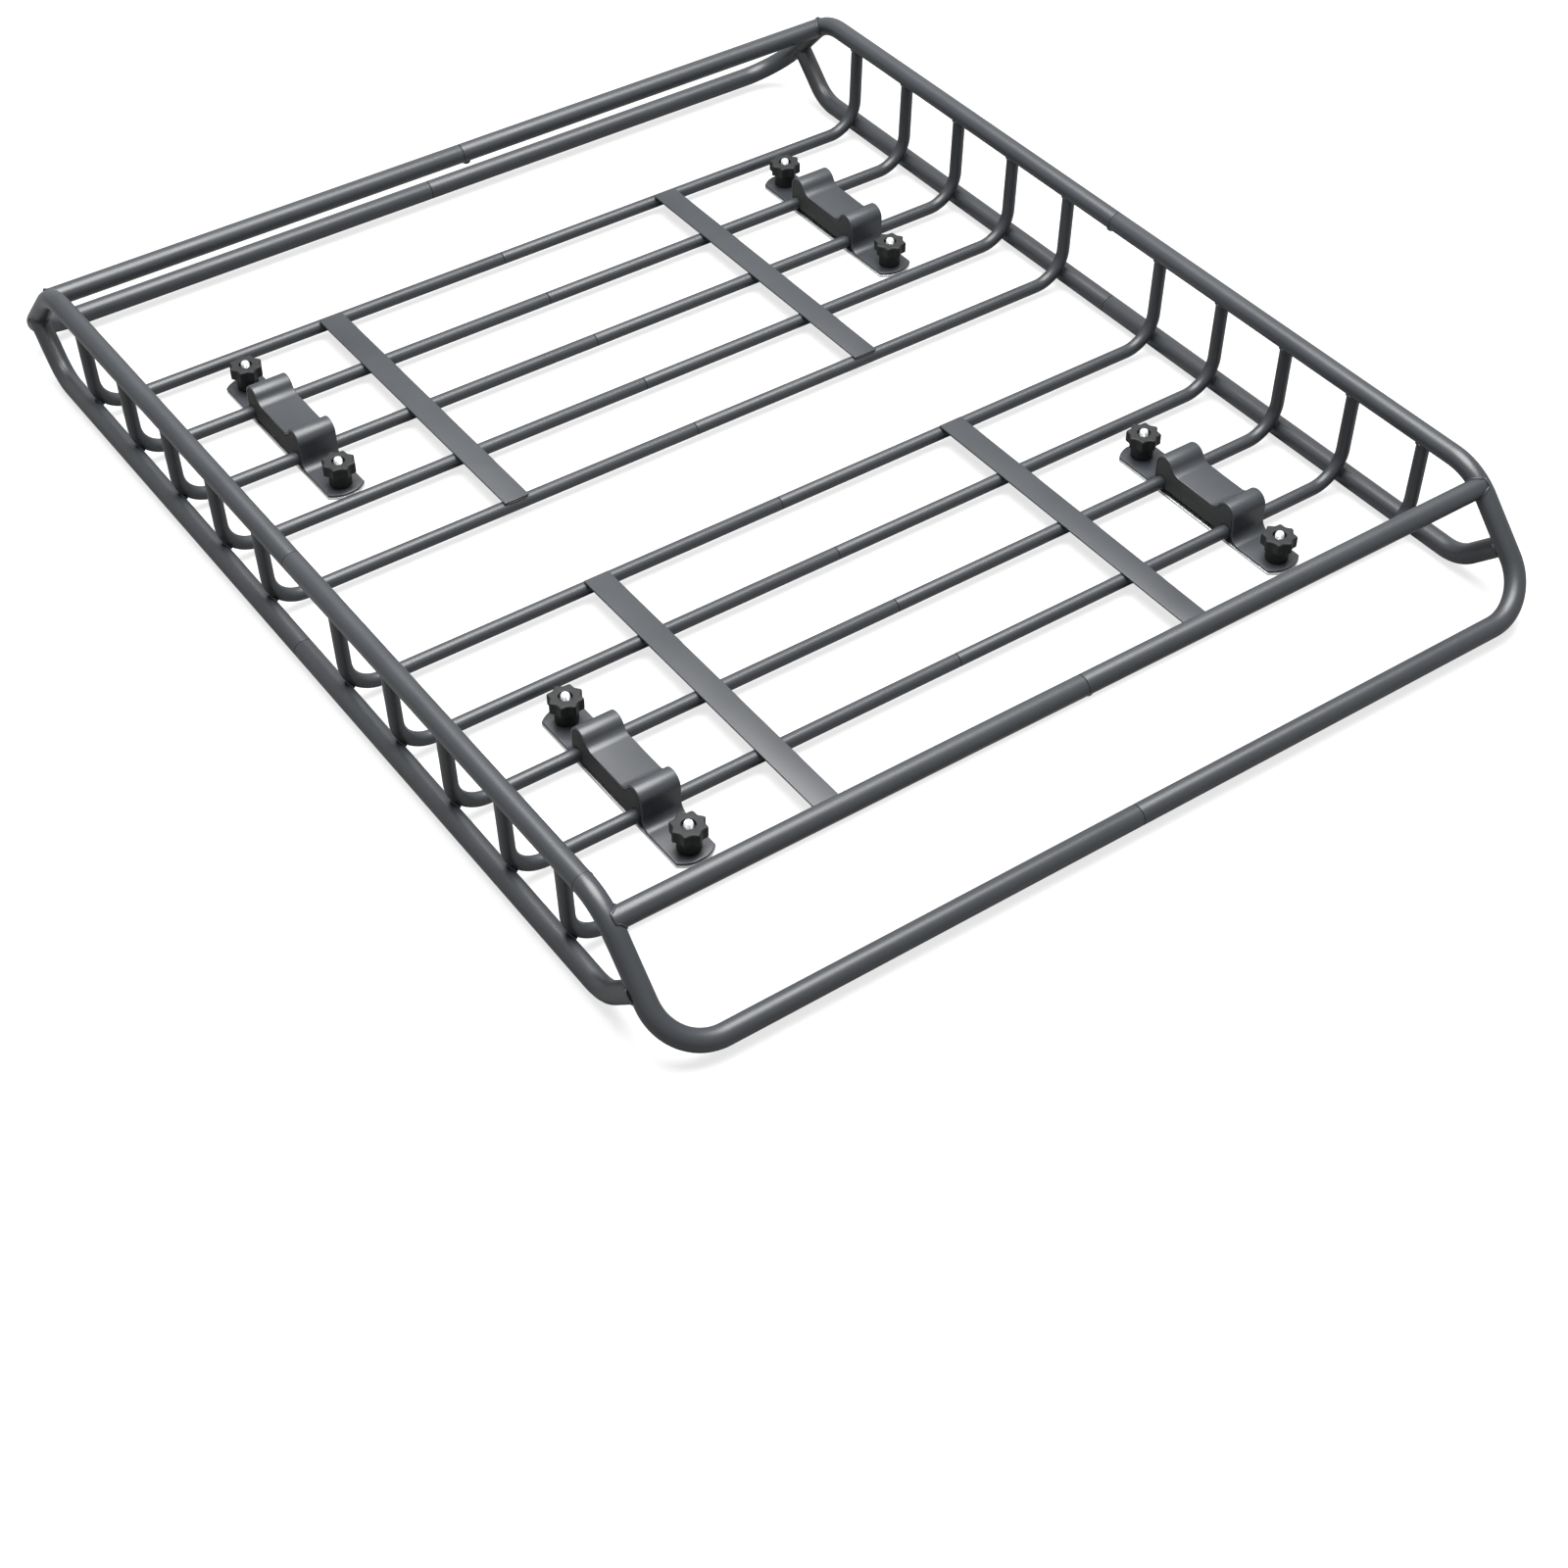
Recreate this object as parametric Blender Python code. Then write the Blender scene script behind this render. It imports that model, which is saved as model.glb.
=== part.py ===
"""Roof cargo basket: a bolt-together steel tube basket with four crossbar clamps.

X runs across the vehicle (left is -X), Y along it (front is -Y) and Z up.
The lowest faces, those of the four stud plates, lie in the plane Z = 0.
"""
import bmesh
import bpy
import numpy as np
from mathutils import Matrix

# Clearances
GAP = 0.0003                # between pieces that touch
BORE_GAP = 0.0004           # round a stud or screw in its hole
SEAT_GAP = 0.0008           # at the hollowed end of a tube, measured at its corners

# Tubes
RAIL_R = 0.009525           # 3/4 in rails
BAR_R = 0.00635             # 1/2 in floor bars
WALL = 0.0012
SPIGOT_LENGTH = 0.022
SPIGOT_NECK = 0.003
RAIL_SIDES = 12
BAR_SIDES = 8
BEND_STEPS = 4

# Basket
HALF_WIDTH = 0.448          # to the side rail centre lines
RAIL_RISE = 0.0980          # side rails above the bar centre plane
SHOULDER_Y = 0.4798           # where the side rail turns down
SHOULDER_RADIUS = 0.060
END_HALF_LENGTH = 0.5692    # to the low end rail centre lines
END_RAIL_RISE = 0.00465      # low end rails above the bar centre plane
CORNER_RADIUS = 0.0474
TOP_END_RAIL_SETBACK = 0.0107  # top end rails, past the shoulders
TOP_END_RAIL_DROP = 0.0111     # and below the side rails
LOW_RAIL_OUTSET = 0.0017       # low side rails stand a little wider than the top ones
LOW_RAIL_TURN_OFFSET = 0.0022  # and turn a little past the shoulders
LOW_RAIL_RADIUS = 0.045

# Floor bars
BARS_PER_END = 5
FIRST_BAR_Y = 0.0691        # innermost bar of each end
BAR_PITCH = 0.0880
UPRIGHT_FOOT_INSET = 0.0043    # from the side rail centre lines
UPRIGHT_TOP_INSET = 0.0015
BAR_BEND_RADIUS = 0.033

# Straps
STRAP_X = 0.1967
STRAP_WIDTH = 0.0254
STRAP_THICKNESS = 0.0020
STRAP_OVERHANG = 0.0008     # past the centre lines of the outer bars
STRAP_SHIFT = {"f": 0.0, "r": -0.0032}     # along the rack, from the middle of the group

# Crossbar clamps, each over bars two and three from its end
CLAMP_X = {"l": -0.3077, "r": 0.3243}
CLAMP_WIDTH = 0.0385
PLATE_THICKNESS = 0.0025
FLANGE_TOP = -0.0072        # from the bar centre plane
SADDLE_RISE = 0.0168
SADDLE_HALF_LENGTH = 0.0212
BUMP_RISE = 0.0290
BUMP_RADIUS = 0.0115
FLANGE_FILLET = 0.0095
CLAMP_HALF_LENGTH = 0.1018  # to the corners of the rounded ends
END_BULGE = 0.0080
PAD_BOTTOM = -0.0045
PAD_LIP_RISE = 0.0040

# Studs, knobs and screws
STUD_SPACING = 0.1847
STUD_R = 0.004
STUD_TOP = 0.0209
STUD_SIDES = 10
KNOB_TOP = 0.0186
KNOB_HEAD_HEIGHT = 0.0116
KNOB_HUB_R = 0.0105
KNOB_LOBES = 8
KNOB_HEAD_R = 0.0149
KNOB_LOBE_DEPTH = 0.0013
KNOB_COUNTERBORE_R = 0.0062
KNOB_COUNTERBORE_DEPTH = 0.0040
SCREW_HEAD_R = 0.0046
SCREW_HEAD_HEIGHT = 0.0026
SCREW_SHANK_R = 0.0024
SCREW_SHANK_LENGTH = 0.0070
SCREW_OFFSET = 0.0060       # from the joint

BLACK_COAT = (0.030, 0.032, 0.034, 1.0)
BLACK_RUBBER = (0.015, 0.015, 0.016, 1.0)
BLACK_PLASTIC = (0.020, 0.021, 0.022, 1.0)
ZINC = (0.78, 0.79, 0.80, 1.0)

STUD_PLATE_TOP = FLANGE_TOP - PLATE_THICKNESS - GAP
BAR_Z = PLATE_THICKNESS - STUD_PLATE_TOP     # bar centre plane above the base
RAIL_Z = BAR_Z + RAIL_RISE
TOP_END_RAIL_Y = SHOULDER_Y + TOP_END_RAIL_SETBACK
TOP_END_RAIL_Z = RAIL_Z - TOP_END_RAIL_DROP
LOW_RAIL_X = HALF_WIDTH + LOW_RAIL_OUTSET
LOW_RAIL_TURN_Y = SHOULDER_Y + LOW_RAIL_TURN_OFFSET
UPRIGHT_FOOT_X = HALF_WIDTH - UPRIGHT_FOOT_INSET
UPRIGHT_TOP_X = HALF_WIDTH - UPRIGHT_TOP_INSET
END_Z = BAR_Z + END_RAIL_RISE
BAR_YS = [FIRST_BAR_Y + k * BAR_PITCH for k in reversed(range(BARS_PER_END))]
BAR_YS += [-y for y in reversed(BAR_YS)]
CLAMP_Y = FIRST_BAR_Y + 2.5 * BAR_PITCH
SIDES = {"l": -1, "r": 1}
ENDS = {"f": -1, "r": 1}

for old in list(bpy.data.objects):
    bpy.data.objects.remove(old, do_unlink=True)


def unit(vector):
    return vector / np.linalg.norm(vector)


def finish(name, mesh, colour, roughness, metallic, smooth=True):
    """Put a mesh in the scene under its own name with its own material."""
    material = bpy.data.materials.new(name + "_finish")
    material.use_nodes = True
    shader = material.node_tree.nodes["Principled BSDF"]
    shader.inputs["Base Color"].default_value = colour
    shader.inputs["Roughness"].default_value = roughness
    shader.inputs["Metallic"].default_value = metallic
    material.diffuse_color = colour
    mesh.materials.clear()
    mesh.materials.append(material)
    mesh.name = name
    for face in mesh.polygons:
        face.use_smooth = smooth
    made = bpy.data.objects.new(name, mesh)
    bpy.context.scene.collection.objects.link(made)
    return made


def mesh_of(bm):
    """Close up a bmesh: faces turned outward, many-sided faces cut to triangles."""
    bmesh.ops.recalc_face_normals(bm, faces=bm.faces)
    wide = [face for face in bm.faces if len(face.verts) > 4]
    bmesh.ops.triangulate(bm, faces=wide)
    mesh = bpy.data.meshes.new("shape")
    bm.to_mesh(mesh)
    bm.free()
    return mesh


def loft(rings, closed):
    """Join rings of equal count in order; either close the row or cap both ends."""
    bm = bmesh.new()
    loops = [[bm.verts.new(point) for point in ring] for ring in rings]
    count = len(loops[0])
    pairs = list(zip(loops, loops[1:]))
    if closed:
        pairs.append((loops[-1], loops[0]))
    for one, two in pairs:
        for k in range(count):
            bm.faces.new((one[k], one[(k + 1) % count], two[(k + 1) % count], two[k]))
    if not closed:
        bm.faces.new(loops[0])
        bm.faces.new(loops[-1])
    return mesh_of(bm)


def prism(outline, axis, low, high):
    """Extrude an outline of two coordinates along the third axis."""
    points = [np.insert(np.array(point, float), axis, low) for point in outline]
    bm = bmesh.new()
    face = bm.faces.new([bm.verts.new(point) for point in points])
    grown = bmesh.ops.extrude_face_region(bm, geom=[face])
    moved = [item for item in grown["geom"] if isinstance(item, bmesh.types.BMVert)]
    step = np.zeros(3)
    step[axis] = high - low
    bmesh.ops.translate(bm, verts=moved, vec=step)
    return mesh_of(bm)


def circle(centre, radius, sides, z):
    """A level ring of points."""
    turns = np.arange(sides) * 2 * np.pi / sides
    return [np.array((centre[0] + radius * np.cos(a), centre[1] + radius * np.sin(a), z))
            for a in turns]


def turned(profile, sides, centre=(0.0, 0.0), closed=False):
    """Turn a profile of (radius, height) pairs about a vertical axis."""
    return loft([circle(centre, radius, sides, z) for radius, z in profile], closed)


def combine(mesh, other, operation):
    """Cut, join or intersect one mesh with another."""
    body = bpy.data.objects.new("body", mesh)
    tool = bpy.data.objects.new("tool", other)
    for item in (body, tool):
        bpy.context.scene.collection.objects.link(item)
    modifier = body.modifiers.new("combine", "BOOLEAN")
    modifier.operation = operation
    modifier.solver = "EXACT"
    modifier.object = tool
    shaped = body.evaluated_get(bpy.context.evaluated_depsgraph_get())
    bm = bmesh.new()
    bm.from_mesh(bpy.data.meshes.new_from_object(shaped))
    for item in (body, tool):
        bpy.data.objects.remove(item, do_unlink=True)
    return mesh_of(bm)


def rounded_path(corners, radii):
    """Points and directions along straight runs joined by circular bends."""
    corners = [np.array(corner, float) for corner in corners]
    points, ways = [corners[0]], [unit(corners[1] - corners[0])]
    for before, corner, after, radius in zip(corners, corners[1:], corners[2:], radii):
        into, out = unit(corner - before), unit(after - corner)
        angle = np.arccos(np.dot(into, out))
        inward = unit(out - into * np.dot(into, out))
        start = corner - into * radius * np.tan(angle / 2)
        centre = start + inward * radius
        for turn in np.linspace(0, angle, BEND_STEPS + 1):
            points.append(centre + radius * (into * np.sin(turn) - inward * np.cos(turn)))
            ways.append(into * np.cos(turn) + inward * np.sin(turn))
    points.append(corners[-1])
    ways.append(unit(corners[-1] - corners[-2]))
    return points, ways


def carry(normal, way, next_way):
    """Turn a normal by the smallest rotation that takes one direction to the next."""
    axis = np.cross(way, next_way)
    cosine = np.dot(way, next_way)
    return unit(normal * cosine + np.cross(axis, normal)
                + axis * np.dot(axis, normal) / (1 + cosine))


def seat(ring, way, line, clearance):
    """Slide each point of a ring along a direction until it lies off a centre line."""
    starts, spans = line[:-1], line[1:] - line[:-1]
    squares = (spans ** 2).sum(axis=1)

    def distance(point):
        along = np.clip(((point - starts) * spans).sum(axis=1) / squares, 0, 1)
        return np.sqrt(((starts + along[:, None] * spans - point) ** 2).sum(axis=1).min())

    seated = []
    for point in ring:
        near, far = -3 * clearance, 0.0
        for _ in range(40):
            middle = (near + far) / 2
            if distance(point + way * middle) > clearance:
                near = middle
            else:
                far = middle
        seated.append(point + way * near)
    return seated


def tube(path, normal, radius, sides, male_start=False, male_end=False, seat_line=None):
    """A hollow tube with swaged spigots where asked and its last end shaped to a rail."""
    points, ways = path
    normals = [np.array(normal, float)]
    for way, next_way in zip(ways, ways[1:]):
        normals.append(carry(normals[-1], way, next_way))
    turns = np.arange(sides) * 2 * np.pi / sides

    def ring(index, shift, size):
        way, up = ways[index], normals[index]
        side = np.cross(way, up)
        centre = points[index] + way * shift
        return [centre + size * (np.cos(a) * up + np.sin(a) * side) for a in turns]

    bore, last = radius - WALL, len(points) - 1
    neck, neck_bore = bore - GAP, bore - GAP - WALL
    outer = [ring(k, 0, radius) for k in range(last + 1)]
    inner = [ring(k, 0, bore) for k in range(last, -1, -1)]
    if seat_line is not None:
        outer[-1] = seat(outer[-1], ways[-1], seat_line, RAIL_R + SEAT_GAP)
        inner[0] = seat(inner[0], ways[-1], seat_line, RAIL_R + SEAT_GAP)
    if male_start:
        outer = [ring(0, -SPIGOT_LENGTH, neck), ring(0, 0, neck)] + outer
        inner[-1:] = [ring(0, SPIGOT_NECK, bore), ring(0, SPIGOT_NECK, neck_bore),
                      ring(0, -SPIGOT_LENGTH, neck_bore)]
    if male_end:
        outer += [ring(last, 0, neck), ring(last, SPIGOT_LENGTH, neck)]
        inner[:1] = [ring(last, SPIGOT_LENGTH, neck_bore), ring(last, -SPIGOT_NECK, neck_bore),
                     ring(last, -SPIGOT_NECK, bore)]
    return loft(outer + inner, True)


def screw_hole(mesh, x, y):
    """Drill the lower wall of a rail for its joint screw."""
    drill = turned([(SCREW_SHANK_R + BORE_GAP, RAIL_Z - RAIL_R - SCREW_HEAD_HEIGHT),
                    (SCREW_SHANK_R + BORE_GAP, RAIL_Z)], STUD_SIDES, (x, y))
    return combine(mesh, drill, "DIFFERENCE")


def coated(name, mesh):
    return finish(name, mesh, BLACK_COAT, 0.42, 0.0)


# Perimeter tubes: side rail, shoulder, sloping corner and low end rail in one length
slope = unit(np.array((END_HALF_LENGTH - SHOULDER_Y, END_Z - RAIL_Z)))
perimeter_lines = {}
for end, fore in ENDS.items():
    for side, across in SIDES.items():
        x = across * HALF_WIDTH
        path = rounded_path([(x, fore * GAP / 2, RAIL_Z), (x, fore * SHOULDER_Y, RAIL_Z),
                             (x, fore * END_HALF_LENGTH, END_Z),
                             (across * GAP / 2, fore * END_HALF_LENGTH, END_Z)],
                            [SHOULDER_RADIUS, CORNER_RADIUS])
        perimeter_lines[end + side] = np.array(path[0])
        shape = tube(path, (0, 0, 1), RAIL_R, RAIL_SIDES, male_start=end == "f", male_end=side == "l")
        coated("perimeter_tube_" + end + side, screw_hole(shape, x, SCREW_OFFSET))

# Top end rails, butted to the shoulders of the perimeter tubes
for end, fore in ENDS.items():
    for side, across in SIDES.items():
        y, z = fore * TOP_END_RAIL_Y, TOP_END_RAIL_Z
        path = rounded_path([(across * GAP / 2, y, z), (across * HALF_WIDTH, y, z)], [])
        shape = tube(path, (0, 0, 1), RAIL_R, RAIL_SIDES, male_start=side == "l",
                     seat_line=perimeter_lines[end + side])
        drill = turned([(SCREW_SHANK_R + BORE_GAP, z - RAIL_R - SCREW_HEAD_HEIGHT),
                        (SCREW_SHANK_R + BORE_GAP, z)], STUD_SIDES, (SCREW_OFFSET, y))
        coated("end_rail_" + end + side, combine(shape, drill, "DIFFERENCE"))

# Floor bars: half a bar, its bend and its upright
for number, y in enumerate(BAR_YS, start=1):
    for side, across in SIDES.items():
        path = rounded_path([(across * GAP / 2, y, BAR_Z), (across * UPRIGHT_FOOT_X, y, BAR_Z),
                             (across * UPRIGHT_TOP_X, y, RAIL_Z)], [BAR_BEND_RADIUS])
        line = perimeter_lines[("r" if y > 0 else "f") + side]
        shape = tube(path, (0, 0, -1), BAR_R, BAR_SIDES, male_start=side == "l", seat_line=line)
        coated("floor_bar_%s%02d" % (side, number), shape)

# Low side rails, lying against the outside of the bar bends
lean = unit(np.array((UPRIGHT_TOP_X - UPRIGHT_FOOT_X, RAIL_RISE)))
bend_x = UPRIGHT_FOOT_X - BAR_BEND_RADIUS * np.tan(np.arccos(lean[0]) / 2)
reach = BAR_BEND_RADIUS + BAR_R + RAIL_R + GAP
LOW_RAIL_Z = BAR_Z + BAR_BEND_RADIUS - np.sqrt(reach ** 2 - (LOW_RAIL_X - bend_x) ** 2)
corner = np.array((LOW_RAIL_TURN_Y, LOW_RAIL_Z))
rise = np.array((-slope[1], slope[0]))
reach_up = np.dot(np.array((SHOULDER_Y, RAIL_Z)) - corner, rise)
meeting = corner + rise * reach_up
for end, fore in ENDS.items():
    for side, across in SIDES.items():
        x = across * LOW_RAIL_X
        path = rounded_path([(x, fore * GAP / 2, LOW_RAIL_Z), (x, fore * corner[0], LOW_RAIL_Z),
                             (x, fore * meeting[0], meeting[1])], [LOW_RAIL_RADIUS])
        shape = tube(path, (0, 0, 1), RAIL_R, RAIL_SIDES, male_start=end == "f",
                     seat_line=perimeter_lines[end + side])
        coated("low_side_rail_" + end + side, shape)

# Straps across the tops of five bars
strap_low = BAR_Z + BAR_R + GAP
for end, fore in ENDS.items():
    for side, across in SIDES.items():
        near = fore * (FIRST_BAR_Y - STRAP_OVERHANG) + STRAP_SHIFT[end]
        far = near + fore * ((BARS_PER_END - 1) * BAR_PITCH + 2 * STRAP_OVERHANG)
        left = across * STRAP_X - STRAP_WIDTH / 2
        shape = prism([(left, near), (left + STRAP_WIDTH, near), (left + STRAP_WIDTH, far),
                       (left, far)], 2, strap_low, strap_low + STRAP_THICKNESS)
        finish("strap_" + end + side, shape, BLACK_COAT, 0.42, 0.0, smooth=False)

# Clamp cross-section, half of it, with Y from the clamp's middle and Z from the bars
bar_offset = BAR_PITCH / 2
wall_y = bar_offset + BAR_R + GAP + PLATE_THICKNESS
bump_y, bump_z = wall_y - BUMP_RADIUS, BUMP_RISE - BUMP_RADIUS
dip = bump_z - SADDLE_RISE
run = bump_y - SADDLE_HALF_LENGTH
valley = (run ** 2 + dip ** 2 - BUMP_RADIUS ** 2) / (2 * (BUMP_RADIUS + dip))
meet = np.arctan2(SADDLE_RISE + valley - bump_z, SADDLE_HALF_LENGTH - bump_y)


def arc(y, z, radius, start, stop, steps):
    return [(y + radius * np.cos(a), z + radius * np.sin(a))
            for a in np.linspace(start, stop, steps + 1)]


def clamp_top(depth):
    """Upper outline of the clamp from its middle to the outer wall, set in by a depth."""
    points = arc(SADDLE_HALF_LENGTH, SADDLE_RISE + valley, valley + depth, -np.pi / 2,
                 meet - np.pi, 3)
    return points + arc(bump_y, bump_z, BUMP_RADIUS - depth, meet, 0, 7)[1:]


def clamp_foot(depth):
    """Fillet from the outer wall to the flange, then the flange, set in by a depth."""
    points = arc(wall_y + FLANGE_FILLET, FLANGE_TOP + FLANGE_FILLET, FLANGE_FILLET + depth,
                 np.pi, 1.5 * np.pi, 4)
    return points + [(CLAMP_HALF_LENGTH + 2 * END_BULGE, FLANGE_TOP - depth)]


def mirrored(half):
    return [(-y, z) for y, z in reversed(half)] + list(half)


def placed(mesh, x, y, z):
    copy = mesh.copy()
    copy.transform(Matrix.Translation((x, y, z)))
    return copy


half_x = CLAMP_WIDTH / 2
end_radius = (half_x ** 2 + END_BULGE ** 2) / (2 * END_BULGE)
end_angle = np.arcsin(half_x / end_radius)
end_arc = [(end_radius * np.sin(a), CLAMP_HALF_LENGTH + END_BULGE + end_radius * (np.cos(a) - 1))
           for a in np.linspace(end_angle, -end_angle, 8)]
outline = end_arc + [(-x, -y) for x, y in end_arc]

above = mirrored(clamp_top(0) + clamp_foot(0))
below = mirrored(clamp_top(PLATE_THICKNESS) + clamp_foot(PLATE_THICKNESS))
plate = prism(above + below[::-1], 0, -half_x - END_BULGE, half_x + END_BULGE)
plate = combine(plate, prism(outline, 2, 2 * STUD_PLATE_TOP, 2 * BUMP_RISE), "INTERSECT")

groove = BAR_R + GAP
skirt = arc(bar_offset, 0, groove, np.pi + np.arcsin(-PAD_BOTTOM / groove),
            np.arcsin(PAD_LIP_RISE / groove), 8)
inset = PLATE_THICKNESS + GAP
pad_half = clamp_top(inset) + [(wall_y - inset, PAD_LIP_RISE)] + skirt[::-1]
pad = prism([(-y, z) for y, z in reversed(pad_half)] + pad_half, 0, -half_x, half_x)

stud_plate = prism(outline, 2, STUD_PLATE_TOP - PLATE_THICKNESS, STUD_PLATE_TOP)
for sign in (1, -1):
    spot = (0.0, sign * STUD_SPACING / 2)
    hole = turned([(STUD_R + BORE_GAP, 2 * STUD_PLATE_TOP), (STUD_R + BORE_GAP, BUMP_RISE)],
                  STUD_SIDES, spot)
    plate = combine(plate, hole, "DIFFERENCE")
    stud = turned([(STUD_R, STUD_PLATE_TOP - PLATE_THICKNESS / 2), (STUD_R, STUD_TOP)],
                  STUD_SIDES, spot)
    stud_plate = combine(stud_plate, stud, "UNION")

# Star knob: hub, lobed head, counterbore and through hole, standing on Z = 0
knob_height = KNOB_TOP - FLANGE_TOP - GAP
knob_sides = 3 * KNOB_LOBES
turns = np.arange(knob_sides) * 2 * np.pi / knob_sides
lobes = KNOB_HEAD_R + KNOB_LOBE_DEPTH * np.cos(KNOB_LOBES * turns)


def lobed(z):
    return [np.array((r * np.cos(a), r * np.sin(a), z)) for r, a in zip(lobes, turns)]


def knob_ring(radius, z):
    return circle((0.0, 0.0), radius, knob_sides, z)


bore_r = STUD_R + BORE_GAP
head_low = knob_height - KNOB_HEAD_HEIGHT
pocket = knob_height - KNOB_COUNTERBORE_DEPTH
knob = loft([knob_ring(KNOB_HUB_R, 0), knob_ring(KNOB_HUB_R, head_low), lobed(head_low),
             lobed(knob_height), knob_ring(KNOB_COUNTERBORE_R, knob_height),
             knob_ring(KNOB_COUNTERBORE_R, pocket), knob_ring(bore_r, pocket),
             knob_ring(bore_r, 0)], True)

for end, fore in ENDS.items():
    for side, x in CLAMP_X.items():
        y = fore * CLAMP_Y
        place = end + side
        finish("clamp_plate_" + place, placed(plate, x, y, BAR_Z), BLACK_COAT, 0.42, 0.0)
        finish("clamp_pad_" + place, placed(pad, x, y, BAR_Z), BLACK_RUBBER, 0.75, 0.0, smooth=False)
        made = finish("stud_plate_" + place, placed(stud_plate, 0, 0, 0), ZINC, 0.30, 1.0,
                      smooth=False)
        made.location = (x, y, BAR_Z)
        for letter, sign in (("a", 1), ("b", -1)):
            made = finish("knob_%s_%s" % (place, letter), placed(knob, 0, 0, 0), BLACK_PLASTIC,
                          0.50, 0.0)
            made.location = (x, y + sign * STUD_SPACING / 2, BAR_Z + FLANGE_TOP + GAP)

# Joint screws from below, where the spigots of the upper rails sit in their sockets
head_top = -RAIL_R - GAP
screw = turned([(0.6 * SCREW_HEAD_R, head_top - SCREW_HEAD_HEIGHT),
                (SCREW_HEAD_R, head_top - SCREW_HEAD_HEIGHT / 2), (SCREW_HEAD_R, head_top),
                (SCREW_SHANK_R, head_top), (SCREW_SHANK_R, head_top + SCREW_SHANK_LENGTH)],
               STUD_SIDES)
top_end_z = TOP_END_RAIL_Z
for name, x, y, z in (("left", -HALF_WIDTH, SCREW_OFFSET, RAIL_Z),
                      ("right", HALF_WIDTH, SCREW_OFFSET, RAIL_Z),
                      ("front", SCREW_OFFSET, -TOP_END_RAIL_Y, top_end_z),
                      ("rear", SCREW_OFFSET, TOP_END_RAIL_Y, top_end_z)):
    finish("joint_screw_" + name, placed(screw, x, y, z), BLACK_COAT, 0.42, 0.0)
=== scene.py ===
import bpy
import numpy as np
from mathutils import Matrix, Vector


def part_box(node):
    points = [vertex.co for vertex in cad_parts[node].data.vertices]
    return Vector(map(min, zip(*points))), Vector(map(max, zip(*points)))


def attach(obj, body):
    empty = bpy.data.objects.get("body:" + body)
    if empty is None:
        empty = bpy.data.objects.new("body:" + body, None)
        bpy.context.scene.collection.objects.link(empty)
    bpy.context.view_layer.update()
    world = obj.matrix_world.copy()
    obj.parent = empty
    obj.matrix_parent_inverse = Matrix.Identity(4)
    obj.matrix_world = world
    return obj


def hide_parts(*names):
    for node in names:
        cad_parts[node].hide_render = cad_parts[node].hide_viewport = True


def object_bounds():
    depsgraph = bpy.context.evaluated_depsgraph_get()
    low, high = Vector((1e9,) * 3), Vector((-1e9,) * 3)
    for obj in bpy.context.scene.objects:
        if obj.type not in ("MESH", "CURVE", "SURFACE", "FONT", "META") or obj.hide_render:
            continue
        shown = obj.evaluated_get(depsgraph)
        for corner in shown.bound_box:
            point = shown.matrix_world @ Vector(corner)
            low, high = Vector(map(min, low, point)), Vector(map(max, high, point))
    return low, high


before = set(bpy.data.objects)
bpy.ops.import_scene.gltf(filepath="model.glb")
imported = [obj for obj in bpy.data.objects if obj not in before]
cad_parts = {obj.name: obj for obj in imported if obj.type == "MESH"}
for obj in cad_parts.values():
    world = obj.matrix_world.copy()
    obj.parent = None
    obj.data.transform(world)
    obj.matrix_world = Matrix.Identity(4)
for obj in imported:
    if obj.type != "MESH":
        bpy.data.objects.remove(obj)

# A roof cargo basket of bent steel tube, bolted together from four quarters and clamped to
# two crossbars. Metres; X across the vehicle, Y along it with the rear positive, Z up.

cad_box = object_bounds()
TAU = 2 * np.pi
ENDS = {"f": -1, "r": 1}
SIDES = {"l": -1, "r": 1}

# Bends of the tubes, as distances that the model's boxes don't give
SHOULDER_Y = 0.4798
SHOULDER_RADIUS = 0.060
CORNER_RADIUS = 0.0474
LOW_RAIL_TURN_Y = 0.4820
LOW_RAIL_RADIUS = 0.045
UPRIGHT_FOOT_X = 0.4437
UPRIGHT_TOP_X = 0.4465
BAR_BEND_RADIUS = 0.033
BARS_PER_END = 5

# Formed clamp plate, from the bar centre plane and the clamp's middle
FLANGE_TOP = -0.0072
SADDLE_RISE = 0.0168
SADDLE_HALF_LENGTH = 0.0212
BUMP_RISE = 0.0290
BUMP_RADIUS = 0.0115
FLANGE_FILLET = 0.0095
END_BULGE = 0.0080
PAD_BOTTOM = -0.0045
PAD_LIP_RISE = 0.0040

# Small edges and fittings
JOINT_GAP = 0.0003
TUBE_LIP = 0.0007              # rounded rim of a cut and coated tube end
SHEET_EDGE = 0.0009            # coated edge of a stamped plate
STRAP_EDGE = 0.0006
PAD_EDGE = 0.0004              # the lips beside the bars are only 1 mm thick
BEAD_RADIUS = 0.0009
RING_RADIUS = 0.0006           # seam where a bent end is joined to a side tube
BEAD_RIPPLE = 0.0018           # from one ripple of a weld bead to the next
BEAD_SWELL = 0.05              # share of the radius that each ripple adds
RAIL_SPOT_R = 0.0040           # ring of weld where a bar's bend touches the low side rail
STRAP_BEAD_HALF = 0.0105       # half the length of a bead under a strap
STRAP_BEAD_SHIFT = 0.0036      # its distance from the bar's middle
STUD_SPACING = 0.1847
STUD_R = 0.004                 # M8
THREAD_PITCH = 0.00125
THREAD_DEPTH = 0.00077
KNOB_LOBES = 8
KNOB_HUB_R = 0.0105
KNOB_HEAD_R = 0.0149
KNOB_LOBE_DEPTH = 0.0013
KNOB_HEAD_HEIGHT = 0.0116
KNOB_COUNTERBORE_R = 0.0062
KNOB_COUNTERBORE_DEPTH = 0.0040
KNOB_BORE_R = 0.0044
KNOB_BASE_EDGE = 0.0005        # moulded radii, from the bottom of the knob to its top
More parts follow.
